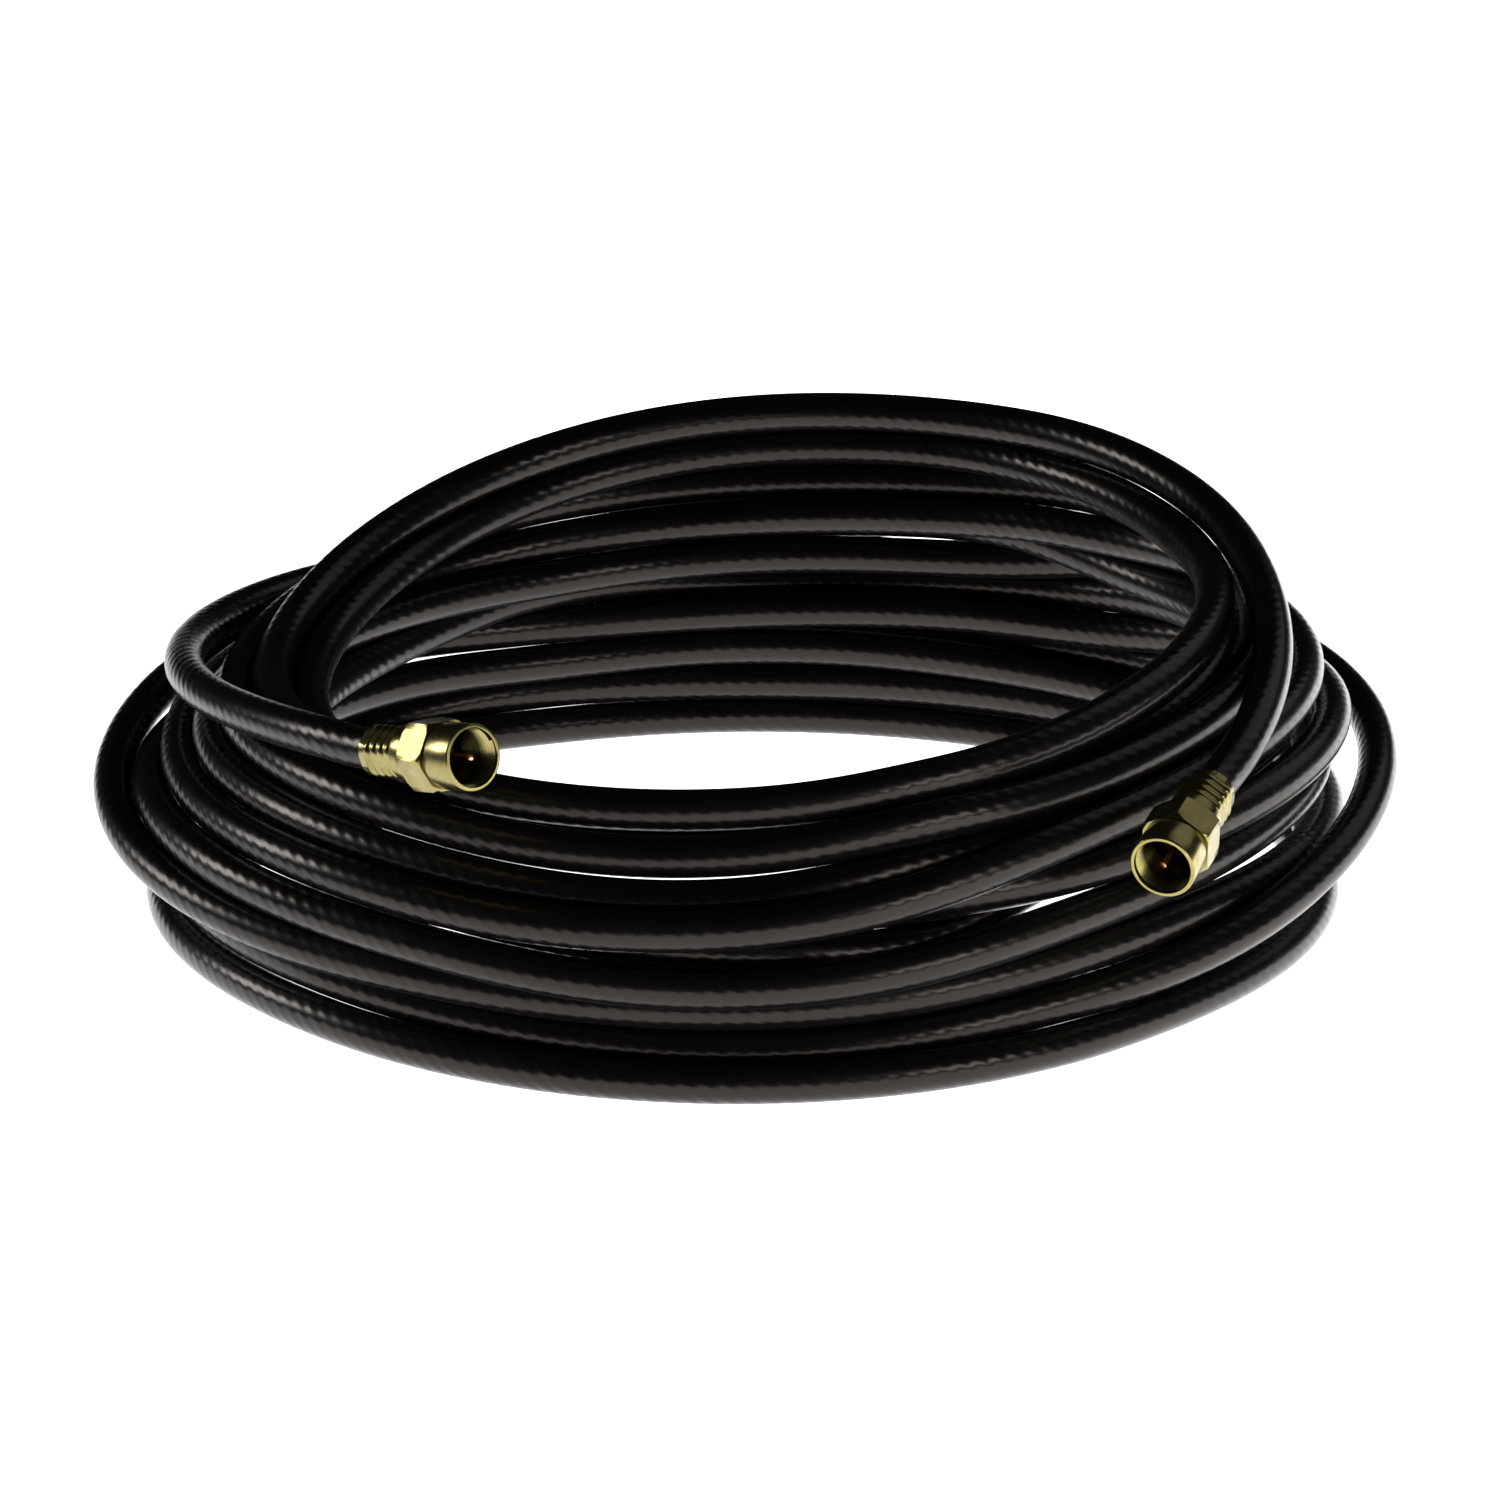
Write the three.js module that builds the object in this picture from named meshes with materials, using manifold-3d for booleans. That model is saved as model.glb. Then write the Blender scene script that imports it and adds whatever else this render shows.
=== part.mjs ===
// Coil of coaxial cable with a crimped screw-on plug on each end.
// Millimetres, +Z up. The origin is on the floor, in the middle of the coil.
import * as THREE from 'three';
import { mergeVertices } from 'three/addons/utils/BufferGeometryUtils.js';
import Module from 'manifold-3d';

const wasm = await Module();
wasm.setup();

// Cable
const cableDiameter = 6.9;
const dielectricDiameter = 4.6;
const conductorDiameter = 1.02;

// Coil: turns laid one on another, with a few turns lying side by side
const layerCount = 9;
const layerPitch = 6.13;
const bellyLayer = 2.5;
const footRadius = 97.5;
const bellyRadius = 101;
const rimRadius = 80;
const shoulderPower = 1.6;
const footSpread = 3;
const bellySpread = 6.5;
const rimSpread = 0.5;
const grooveAngle = 50;
const ovalX = 1.03;
const ovalY = 0.97;
const backRise = 0.00205;
const sideRise = 0.0017;

// Crimped ferrule
const ferruleLength = 11.7;
const ferruleFlats = 8.2;
const ferruleBore = 7.8;
const ferruleNoseDiameter = 9.6;
const ferruleNoseLength = 3.2;
const ridgeCount = 4;
const ridgePitch = 1.8;
const ridgeHeight = 0.35;
const crimpDiameter = 9.3;

// Post that the nut turns on
const postDiameter = 7.2;
const postBore = 5.2;
const postSeatLength = 3.5;
const flangeDiameter = 8.7;
const flangeThickness = 1.4;

// Coupling nut with a 3/8 inch thread
const nutFlats = 11.1;
const hexLength = 6.2;
const collarDiameter = 11;
const collarLength = 6.6;
const threadDiameter = 9.52;
const lipThickness = 2;
const nutChamfer = 0.5;
const mouthChamfer = 0.15;

// Clearances
const touchGap = 0.3;
const nutRearGap = 0.5;
const lipPlay = 0.4;
const conductorSetback = 0.5;

// Smoothness
const coilSegments = 56;
const tubeSides = 10;
const tubeStep = 16;
const plugSegments = 24;
const wireSegments = 12;

// The two loose cable ends lie against the outside of the coil's upper turns.
// A place is the angle round the coil in degrees, the layer that it is level with, and how far
// it stands off the turn there. A plug points from its heel, the rear face, towards its toe.
const tails = {
  a: {
    places: [
      [146, 6.1, 1.1], [161.6, 6.98, 4.4], [175.4, 7.76, 5.8], [188.5, 8.51, 4.5],
      [199.8, 9.13, 2.7], [210.3, 9.67, 2], [222.5, 9.95, 1.9],
    ],
    heel: [231.9, 10.66, 5.1],
    toe: [245.8, 11.91, 13.3],
  },
  b: {
    places: [
      [53.1, 8.25, 2], [36.4, 8.15, 2], [19.2, 7.95, 2.5], [2.8, 7.75, 2.9],
      [-13.6, 7.45, 2.3], [-28.5, 6.88, 3.2],
    ],
    heel: [-41.7, 6.45, 3.5],
    toe: [-53.8, 6.03, 12.6],
  },
};

const materials = {
  jacket: new THREE.MeshStandardMaterial({ color: 0x141312, roughness: 0.42, metalness: 0 }),
  brass: new THREE.MeshStandardMaterial({ color: 0xcdb86a, roughness: 0.28, metalness: 1 }),
  post: new THREE.MeshStandardMaterial({ color: 0xb5a465, roughness: 0.35, metalness: 1 }),
  foam: new THREE.MeshStandardMaterial({ color: 0xdad7cf, roughness: 0.7, metalness: 0 }),
  copper: new THREE.MeshStandardMaterial({ color: 0xb87345, roughness: 0.3, metalness: 1 }),
};

const cableRadius = cableDiameter / 2;
const nutLength = hexLength + collarLength;
const nutStart = ferruleLength + nutRearGap;
const nutEnd = nutStart + nutLength;
const flangeStart = nutStart + lipThickness + lipPlay;
const flangeEnd = flangeStart + flangeThickness;

// A closed profile of [radius, height] corners turned about +Z
function turned(corners, segments) {
  const points = corners.map(([radius, height]) => new THREE.Vector2(radius, height));
  points.push(points[0].clone());
  const geometry = new THREE.LatheGeometry(points, segments);
  geometry.rotateX(Math.PI / 2);
  return geometry;
}

// A hexagonal bar along +Z, measured across its flats
function hexBar(flats, start, length) {
  const corner = flats / 2 / Math.cos(Math.PI / 6);
  const outline = new THREE.Shape();
  for (let side = 0; side < 6; side += 1) {
    const angle = side * Math.PI / 3;
    const x = corner * Math.cos(angle);
    const y = corner * Math.sin(angle);
    if (side === 0) outline.moveTo(x, y);
    else outline.lineTo(x, y);
  }
  outline.closePath();
  const geometry = new THREE.ExtrudeGeometry(outline, { depth: length, bevelEnabled: false });
  geometry.translate(0, 0, start);
  return geometry;
}

function toSolid(geometry) {
  const bare = geometry.clone();
  bare.deleteAttribute('normal');
  bare.deleteAttribute('uv');
  const merged = mergeVertices(bare, 1e-4);
  return new wasm.Manifold(new wasm.Mesh({
    numProp: 3,
    vertProperties: new Float32Array(merged.getAttribute('position').array),
    triVerts: new Uint32Array(merged.getIndex().array),
  }));
}

function toGeometry(solid) {
  const mesh = solid.getMesh();
  const geometry = new THREE.BufferGeometry();
  geometry.setAttribute('position', new THREE.BufferAttribute(mesh.vertProperties, 3));
  geometry.setIndex(new THREE.BufferAttribute(mesh.triVerts, 1));
  geometry.computeVertexNormals();
  return geometry;
}

function named(name, geometry, material) {
  const mesh = new THREE.Mesh(geometry, material);
  mesh.name = name;
  return mesh;
}

// The middle radius of the coil's wall at a layer: it swells to the belly, then draws in to the rim
function wallRadius(layer) {
  if (layer < bellyLayer) {
    return THREE.MathUtils.lerp(footRadius, bellyRadius, layer / bellyLayer);
  }
  const share = (layer - bellyLayer) / (layerCount - 1 - bellyLayer);
  return THREE.MathUtils.lerp(bellyRadius, rimRadius, share ** shoulderPower);
}

// How far apart the innermost and outermost turns of a layer lie
function wallSpread(layer) {
  if (layer < bellyLayer) {
    return THREE.MathUtils.lerp(footSpread, bellySpread, layer / bellyLayer);
  }
  const share = (layer - bellyLayer) / (layerCount - 1 - bellyLayer);
  return THREE.MathUtils.lerp(bellySpread, rimSpread, share);
}

// One side of the coil's profile, foot to rim, with a round bump for every turn
function turnBumps(side) {
  const corners = [];
  for (let layer = 0; layer < layerCount; layer += 1) {
    const centreRadius = wallRadius(layer) + side * wallSpread(layer) / 2;
    const centreHeight = cableRadius + layer * layerPitch;
    const from = layer === 0 ? -90 : -grooveAngle;
    const to = layer === layerCount - 1 ? 90 : grooveAngle;
    const steps = Math.round((to - from) / grooveAngle);
    for (let step = 0; step <= steps; step += 1) {
      const angle = THREE.MathUtils.degToRad(THREE.MathUtils.lerp(from, to, step / steps));
      corners.push([
        centreRadius + side * cableRadius * Math.cos(angle),
        centreHeight + cableRadius * Math.sin(angle),
      ]);
    }
  }
  return corners;
}

// The turned ring is a little oval, and its turns lie looser and higher at the back and right
function settle(point) {
  point.x *= ovalX;
  point.y *= ovalY;
  point.z *= 1 + backRise * point.y + sideRise * point.x;
  return point;
}

function makeCoil() {
  const geometry = turned([...turnBumps(1), ...turnBumps(-1).reverse()], coilSegments);
  const position = geometry.getAttribute('position');
  for (let index = 0; index < position.count; index += 1) {
    const point = settle(new THREE.Vector3().fromBufferAttribute(position, index));
    position.setXYZ(index, point.x, point.y, point.z);
  }
  geometry.computeVertexNormals();
  return named('cable_coil', geometry, materials.jacket);
}

// Above the rim the wall is taken to go straight up
function placeOnCoil([degrees, layer, standOff]) {
  const angle = THREE.MathUtils.degToRad(degrees);
  const level = Math.min(layer, layerCount - 1);
  const radius = wallRadius(level) + wallSpread(level) / 2 + cableDiameter + standOff;
  const height = cableRadius + layer * layerPitch;
  return settle(new THREE.Vector3(radius * Math.cos(angle), radius * Math.sin(angle), height));
}

// A loose cable end that runs up to the rear face of its ferrule
function makeTail(key) {
  const heel = placeOnCoil(tails[key].heel);
  const back = heel.clone().sub(placeOnCoil(tails[key].toe)).normalize();
  const points = tails[key].places.map(placeOnCoil);
  points.push(heel.clone().addScaledVector(back, cableDiameter));
  points.push(heel.clone().addScaledVector(back, touchGap));
  const route = new THREE.CatmullRomCurve3(points);
  const section = new THREE.Shape();
  for (let side = 0; side < tubeSides; side += 1) {
    const angle = side * 2 * Math.PI / tubeSides;
    const x = cableRadius * Math.cos(angle);
    const y = cableRadius * Math.sin(angle);
    if (side === 0) section.moveTo(x, y);
    else section.lineTo(x, y);
  }
  section.closePath();
  const geometry = new THREE.ExtrudeGeometry(section, {
    steps: Math.ceil(route.getLength() / tubeStep),
    extrudePath: route,
    bevelEnabled: false,
  });
  return named(`cable_end_${key}`, geometry, materials.jacket);
}

// Crimped sleeve: ring ridges squeezed to a hexagon, then a plain round nose
function makeFerrule(key) {
  const crimpEnd = ferruleLength - ferruleNoseLength;
  const corners = [[ferruleBore / 2, 0]];
  const firstRidge = crimpEnd - ridgePitch * (ridgeCount - 0.5);
  corners.push([crimpDiameter / 2 - ridgeHeight, 0]);
  for (let ridge = 0; ridge < ridgeCount; ridge += 1) {
    const middle = firstRidge + ridge * ridgePitch;
    corners.push([crimpDiameter / 2 - ridgeHeight, middle - ridgePitch / 2 + touchGap / 2]);
    corners.push([crimpDiameter / 2, middle - ridgePitch / 4]);
    corners.push([crimpDiameter / 2, middle + ridgePitch / 4]);
  }
  corners.push([crimpDiameter / 2 - ridgeHeight, crimpEnd - touchGap / 2]);
  const crimped = toSolid(turned(
    [...corners, [ferruleBore / 2, crimpEnd - touchGap / 2]],
    plugSegments,
  )).intersect(toSolid(hexBar(ferruleFlats + ridgeHeight, -1, crimpEnd + 1)));
  const nose = toSolid(turned([
    [ferruleBore / 2, crimpEnd - touchGap],
    [crimpDiameter / 2 - ridgeHeight, crimpEnd - touchGap],
    [ferruleNoseDiameter / 2, crimpEnd + touchGap],
    [ferruleNoseDiameter / 2, ferruleLength - nutChamfer],
    [ferruleNoseDiameter / 2 - nutChamfer, ferruleLength],
    [ferruleBore / 2, ferruleLength],
  ], plugSegments));
  return named(`crimp_ferrule_${key}`, toGeometry(crimped.add(nose)), materials.brass);
}

// Post: pressed into the ferrule's nose, with the flange that holds the nut on
function makePost(key) {
  const geometry = turned([
    [postBore / 2, ferruleLength - postSeatLength],
    [postDiameter / 2, ferruleLength - postSeatLength],
    [postDiameter / 2, flangeStart],
    [flangeDiameter / 2, flangeStart],
    [flangeDiameter / 2, flangeEnd],
    [postBore / 2, flangeEnd],
  ], plugSegments);
  return named(`inner_post_${key}`, geometry, materials.post);
}

// The cable's own foam core, which shows inside the post's flange
function makeDielectric(key) {
  const geometry = turned([
    [conductorDiameter / 2 + touchGap, ferruleLength - postSeatLength],
    [dielectricDiameter / 2, ferruleLength - postSeatLength],
    [dielectricDiameter / 2, flangeEnd],
    [conductorDiameter / 2 + touchGap, flangeEnd],
  ], plugSegments);
  return named(`dielectric_core_${key}`, geometry, materials.foam);
}

function makeConductor(key) {
  const start = ferruleLength - postSeatLength;
  const length = nutEnd - conductorSetback - start;
  const geometry = new THREE.CylinderGeometry(
    conductorDiameter / 2,
    conductorDiameter / 2,
    length,
    wireSegments,
  );
  geometry.rotateX(Math.PI / 2);
  geometry.translate(0, 0, start + length / 2);
  return named(`centre_conductor_${key}`, geometry, materials.copper);
}

// Coupling nut: chamfered hexagon, round collar, thread bore and an inward lip at the rear
function makeNut(key) {
  const corner = nutFlats / 2 / Math.cos(Math.PI / 6);
  const collarStart = nutStart + hexLength;
  const blank = toSolid(turned([
    [threadDiameter / 2 - nutChamfer, nutStart],
    [corner - nutChamfer, nutStart],
    [corner, nutStart + nutChamfer],
    [corner, collarStart - nutChamfer],
    [corner - nutChamfer, collarStart],
    [threadDiameter / 2 - nutChamfer, collarStart],
  ], plugSegments * 2)).intersect(toSolid(hexBar(nutFlats, nutStart - 1, nutLength)));
  const collar = toSolid(turned([
    [threadDiameter / 2 - nutChamfer, collarStart - nutChamfer],
    [collarDiameter / 2, collarStart - nutChamfer],
    [collarDiameter / 2, nutEnd - mouthChamfer],
    [collarDiameter / 2 - mouthChamfer, nutEnd],
    [threadDiameter / 2 - nutChamfer, nutEnd],
  ], plugSegments));
  const thread = toSolid(turnedBar(threadDiameter / 2, nutStart + lipThickness, nutEnd + 1));
  const neck = toSolid(turnedBar(postDiameter / 2 + lipPlay, nutStart - 1, nutEnd));
  const core = toSolid(turnedBar(threadDiameter / 2 - nutChamfer / 2, nutStart, nutEnd));
  const nut = blank.add(collar).add(core).subtract(thread).subtract(neck);
  return named(`coupling_nut_${key}`, toGeometry(nut), materials.brass);
}

function turnedBar(radius, start, end) {
  const geometry = new THREE.CylinderGeometry(radius, radius, end - start, plugSegments);
  geometry.rotateX(Math.PI / 2);
  geometry.translate(0, 0, (start + end) / 2);
  return geometry;
}

function makePlug(key) {
  const heel = placeOnCoil(tails[key].heel);
  const aim = placeOnCoil(tails[key].toe).sub(heel).normalize();
  const plug = new THREE.Group();
  plug.add(makeFerrule(key), makePost(key), makeDielectric(key), makeConductor(key), makeNut(key));
  plug.position.copy(heel);
  plug.quaternion.setFromUnitVectors(new THREE.Vector3(0, 0, 1), aim);
  return plug;
}

const coilOfCable = new THREE.Group();
coilOfCable.add(makeCoil());
for (const key of Object.keys(tails)) {
  coilOfCable.add(makeTail(key), makePlug(key));
}

export default coilOfCable;
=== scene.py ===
"""The looks of a coiled coaxial lead with a screw-on plug at each end.

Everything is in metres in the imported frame, +Z up. The route table and the plugs' own sizes
are in millimetres, as in the part's source, and are scaled where they are used. CLOSE is the
play, in millimetres, with which two heights in a plug are compared.
"""
import logging
import math
from dataclasses import dataclass, field
from enum import Enum
from typing import Any

import bmesh
import bpy
import numpy as np
from mathutils import Matrix, Vector

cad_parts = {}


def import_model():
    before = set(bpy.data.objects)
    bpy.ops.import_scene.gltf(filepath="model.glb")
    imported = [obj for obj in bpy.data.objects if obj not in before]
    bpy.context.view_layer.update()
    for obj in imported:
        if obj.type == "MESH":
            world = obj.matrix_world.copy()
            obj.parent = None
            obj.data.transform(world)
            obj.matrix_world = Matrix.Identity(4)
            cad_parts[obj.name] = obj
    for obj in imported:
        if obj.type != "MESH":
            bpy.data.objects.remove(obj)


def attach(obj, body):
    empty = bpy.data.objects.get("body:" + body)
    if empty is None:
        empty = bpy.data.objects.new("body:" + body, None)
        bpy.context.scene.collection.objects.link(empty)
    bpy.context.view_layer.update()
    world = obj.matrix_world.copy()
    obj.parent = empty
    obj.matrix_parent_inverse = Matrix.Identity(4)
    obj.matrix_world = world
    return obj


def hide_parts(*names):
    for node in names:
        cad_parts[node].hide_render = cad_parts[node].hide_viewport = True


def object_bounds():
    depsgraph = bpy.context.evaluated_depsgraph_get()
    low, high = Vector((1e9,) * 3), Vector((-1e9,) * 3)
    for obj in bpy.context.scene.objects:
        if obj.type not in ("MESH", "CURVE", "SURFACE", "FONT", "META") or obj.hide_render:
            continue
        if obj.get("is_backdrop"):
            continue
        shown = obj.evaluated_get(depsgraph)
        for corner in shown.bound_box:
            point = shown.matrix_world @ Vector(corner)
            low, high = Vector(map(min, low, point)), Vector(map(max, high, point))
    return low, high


log = logging.getLogger("coaxial_coil")

MM = 0.001
CABLE_DIAMETER = 6.9
CABLE_RADIUS = CABLE_DIAMETER / 2
CLOSE = 0.01
# The nut's mask for the painted shade deep in its bore.
BORE_SHADE_LAYER = "bore_shade_depth"
JACKET_MAP = "along_round"


class Key(Enum):
    """The two ends of the lead."""

    A = "a"
    B = "b"


# Shader wiring


class Wire:
    """A node's output on which Python arithmetic adds Math nodes."""

    def __init__(self, shader: "Shader", socket: bpy.types.NodeSocket) -> None:
        """Wrap one output socket.

        Args:
            shader: the shader whose tree holds the socket.
            socket: the output.
        """
        self.shader = shader
        self.socket = socket

    def math(self, operation: str, *others: Any) -> "Wire":
        """Add a Math node on this value and others.

        Args:
            operation: the Math node's operation.
            others: wires or numbers for its next inputs.

        Returns:
            The node's result.
        """
        return self.shader.node("ShaderNodeMath", {"operation": operation}, self, *others)

    def __add__(self, other: Any) -> "Wire":
        """Return self + other."""
        return self.math("ADD", other)

    def __radd__(self, other: Any) -> "Wire":
        """Return other + self."""
        return self.math("ADD", other)

    def __sub__(self, other: Any) -> "Wire":
        """Return self - other."""
        return self.math("SUBTRACT", other)

    def __rsub__(self, other: Any) -> "Wire":
        """Return other - self."""
        return self.shader.node("ShaderNodeMath", {"operation": "SUBTRACT"}, other, self)

    def __mul__(self, other: Any) -> "Wire":
        """Return self * other."""
        return self.math("MULTIPLY", other)

    def __rmul__(self, other: Any) -> "Wire":
        """Return other * self."""
        return self.math("MULTIPLY", other)

    def sine(self) -> "Wire":
        """Return the sine of this value in radians."""
        return self.math("SINE")

    def clipped(self, low: float, high: float) -> "Wire":
        """Return this value held between two numbers.

        Args:
            low: the least value.
            high: the greatest value.

        Returns:
            The held value.
        """
        return self.math("MAXIMUM", low).math("MINIMUM", high)


class Shader:
    """One material's node tree, with a Principled surface."""

    def __init__(self, name: str, **surface: Any) -> None:
        """Make the material.

        Args:
            name: the material's name.
            surface: plain values for the Principled shader, with _ for spaces in a name.
        """
        self.material = bpy.data.materials.new(name)
        self.material.use_nodes = True
        self.tree = self.material.node_tree
        self.surface = self.tree.nodes["Principled BSDF"]
        for label, value in surface.items():
            self.surface.inputs[label.replace("_", " ")].default_value = value

    def node(self, kind: str, settings: dict[str, Any], *inputs: Any, out: Any = 0) -> Wire:
        """Add a node.

        Args:
            kind: the node's type.
            settings: its settings, set before its sockets; "stops" fills a colour ramp.
            inputs: wires or values for its first sockets, in order; None skips one.
            out: the name or number of the output that is returned.

        Returns:
            That output.
        """
        made = self.tree.nodes.new(kind)
        for label, value in settings.items():
            if label == "stops":
                self.fill_ramp(made, value)
            elif label == "named":
                for socket, given in value.items():
                    self.feed(made.inputs[socket], given)
            else:
                setattr(made, label, value)
        for socket, given in zip(made.inputs, inputs):
            if given is not None:
                self.feed(socket, given)
        return Wire(self, made.outputs[out])

    def feed(self, socket: bpy.types.NodeSocket, given: Any) -> None:
        """Link or set one input.

        Args:
            socket: the input.
            given: a wire or a value.
        """
        if isinstance(given, Wire):
            self.tree.links.new(given.socket, socket)
        else:
            socket.default_value = given

    @staticmethod
    def fill_ramp(made: bpy.types.Node, stops: list[tuple[float, tuple]]) -> None:
        """Set a colour ramp's stops.

        Args:
            made: the ramp node.
            stops: places and colours, in order.
        """
        elements = made.color_ramp.elements
        while len(elements) < len(stops):
            elements.new(0.5)
        for element, (place, colour) in zip(elements, stops):
            element.position = place
            element.color = (*colour, 1)

    def plug_in(self, **inputs: Wire) -> None:
        """Feed varying values to the Principled surface.

        Args:
            inputs: wires by socket name, with _ for spaces.
        """
        for label, wire in inputs.items():
            self.feed(self.surface.inputs[label.replace("_", " ")], wire)

    def place(self) -> Wire:
        """Return the piece's own coordinates, in metres."""
        return self.node("ShaderNodeTexCoord", {}, out="Object")

    def parts(self, vector: Wire) -> tuple[Wire, Wire, Wire]:
        """Split a vector.

        Args:
            vector: the vector.

        Returns:
            Its X, Y and Z.
        """
        made = self.node("ShaderNodeSeparateXYZ", {}, vector).socket.node
        return tuple(Wire(self, made.outputs[axis]) for axis in "XYZ")

    def noise(self, scale: float, detail: float = 3.0, rough: float = 0.5) -> Wire:
        """Add noise on the piece's own coordinates.

        Args:
            scale: features to the metre.
            detail: octaves.
            rough: how strong the fine ones are.

        Returns:
            The noise, about 0 to 1.
        """
        named = {"Vector": self.place(), "Scale": scale, "Detail": detail, "Roughness": rough}
        return self.node("ShaderNodeTexNoise", {"named": named})

    def blend(self, share: Wire, first: tuple, second: tuple) -> Wire:
        """Mix two colours.

        Args:
            share: how much of the second.
            first: the colour at 0.
            second: the colour at 1.

        Returns:
            The mixed colour.
        """
        stops = [(0.0, first), (1.0, second)]
        return self.node("ShaderNodeValToRGB", {"stops": stops}, share, out="Color")

    def scaled(self, colour: Wire, share: Wire) -> Wire:
        """Darken a colour.

        Args:
            colour: the colour.
            share: how much of it is left, 0 to 1.

        Returns:
            The darker colour.
        """
        settings = {"operation": "SCALE", "named": {"Scale": share}}
        return self.node("ShaderNodeVectorMath", settings, colour)

    def bump(self, height: Wire, depth: float, strength: float = 1.0) -> None:
        """Press a relief into the surface.

        Args:
            height: the relief, 0 to 1.
            depth: its depth in metres.
            strength: how much of it shows.
        """
        named = {"Height": height, "Distance": depth, "Strength": strength}
        self.plug_in(Normal=self.node("ShaderNodeBump", {"named": named}, out="Normal"))


# Finishes


@dataclass(frozen=True)
class JacketFinish:
    """Black cable jacket that shows the slanted ribs of the braid beneath it."""

    length: float
    rib_pitch: float = 0.0032
    rib_starts: int = 7
    rib_depth: float = 0.0001
    rib_least: float = 0.15
    rib_share: float = 0.85
    rib_strength: float = 0.8
    wander_scale: float = 70.0
    grain_scale: float = 2600.0
    tone_scale: float = 45.0
    tone_share: float = 0.7
    black: tuple = (0.0022, 0.0020, 0.0018)
    worn: tuple = (0.006, 0.0052, 0.0047)
    sheen: tuple = (1.0, 0.88, 0.80, 1.0)
    gloss: float = 0.3
    roughness: float = 0.26
    roughness_spread: float = 0.16
    roughness_scale: float = 160.0

    def material(self) -> bpy.types.Material:
        """Return the material; it reads the cable's map, along by round."""
        shader = Shader("jacket_black", Specular_IOR_Level=self.gloss, Specular_Tint=self.sheen)
        on_map = shader.node("ShaderNodeUVMap", {"uv_map": JACKET_MAP})
        along, around, _ = shader.parts(on_map)
        turns = along * (self.length / self.rib_pitch) + around * self.rib_starts
        ribs = (turns * (2 * math.pi)).sine() * 0.5 + 0.5
        wander = shader.noise(self.wander_scale, 3.0)
        ribs = ribs * (wander * 1.5 - 0.25).clipped(self.rib_least, 1.0)
        grain = shader.noise(self.grain_scale, 2.0)
        relief = ribs * self.rib_share + grain * (1 - self.rib_share)
        shader.bump(relief, self.rib_depth, self.rib_strength)
        cloud = shader.noise(self.tone_scale, 4.0, 0.6)
        tone = cloud * self.tone_share + grain * (1 - self.tone_share)
        uneven = shader.noise(self.roughness_scale, 3.0) * self.roughness_spread
        shader.plug_in(
            Base_Color=shader.blend((tone * 2.2 - 0.6).clipped(0.0, 1.0), self.black, self.worn),
            Roughness=uneven + (self.roughness - self.roughness_spread / 2),
        )
        return shader.material


@dataclass(frozen=True)
class MetalFinish:
    """Plated or bare metal with faint tarnish and turning marks, and painted shade deep in a bore.
    """

    name: str
    bright: tuple
    dull: tuple
    roughness: float = 0.24
    roughness_spread: float = 0.14
    roughness_scale: float = 700.0
    stain_scale: float = 380.0
    fine_marks: float = 5200.0
    broad_marks: float = 900.0
    mark_depth: float = 0.00002
    mark_strength: float = 0.7
    # How much colour is left in the painted shade deepest in a bore.
    deep_shade_share: float = 0.06

    def material(self) -> bpy.types.Material:
        """Return the material."""
        shader = Shader(self.name, Metallic=1.0)
        depth = shader.node("ShaderNodeAttribute", {"attribute_name": BORE_SHADE_LAYER}, out="Fac")
        # Painted shade: the colour is darkened deep in a bore, where light doesn't reach.
        shade_keep = 1.0 - depth * (1 - self.deep_shade_share)
        stain = (shader.noise(self.stain_scale, 4.0, 0.6) * 1.9 - 0.45).clipped(0.0, 1.0)
        marks = shader.noise(self.fine_marks, 2.0) * 0.5 + shader.noise(self.broad_marks, 2.0) * 0.5
        shader.bump(marks, self.mark_depth, self.mark_strength)
        uneven = shader.noise(self.roughness_scale, 3.0) * self.roughness_spread
        shader.plug_in(
            Base_Color=shader.scaled(shader.blend(stain, self.bright, self.dull), shade_keep),
            Roughness=uneven + (self.roughness - self.roughness_spread / 2),
        )
        return shader.material


BRASS = MetalFinish("plug_brass", (0.32, 0.277, 0.112), (0.22, 0.185, 0.062))
# Painted shade: the post's brass is coloured near black to stand for the shade inside the plug.
POST_SHADE_METAL = MetalFinish("post_shade_metal", (0.05, 0.046, 0.035), (0.02, 0.018, 0.014), 0.3)
COPPER = MetalFinish("wire_copper", (0.86, 0.42, 0.22), (0.55, 0.22, 0.11), 0.22)


@dataclass(frozen=True)
class FoamFinish:
    """The slightly pitted face of the cable's core, coloured near black as painted shade inside the
    post.
    """

    # Painted shade: the foam's colours are near black, standing for the shade inside the post.
    shade_tint: tuple = (0.012, 0.011, 0.010)
    shade_pale: tuple = (0.05, 0.047, 0.043)
    roughness: float = 0.55
    pit_scale: float = 2400.0
    pit_depth: float = 0.00008

    def material(self) -> bpy.types.Material:
        """Return the material."""
        shader = Shader("core_foam", Roughness=self.roughness)
        pits = shader.noise(self.pit_scale, 4.0, 0.65)
        shader.bump(pits, self.pit_depth)
        share = (pits * 2 - 0.7).clipped(0, 1)
        shader.plug_in(Base_Color=shader.blend(share, self.shade_tint, self.shade_pale))
        return shader.material


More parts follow.
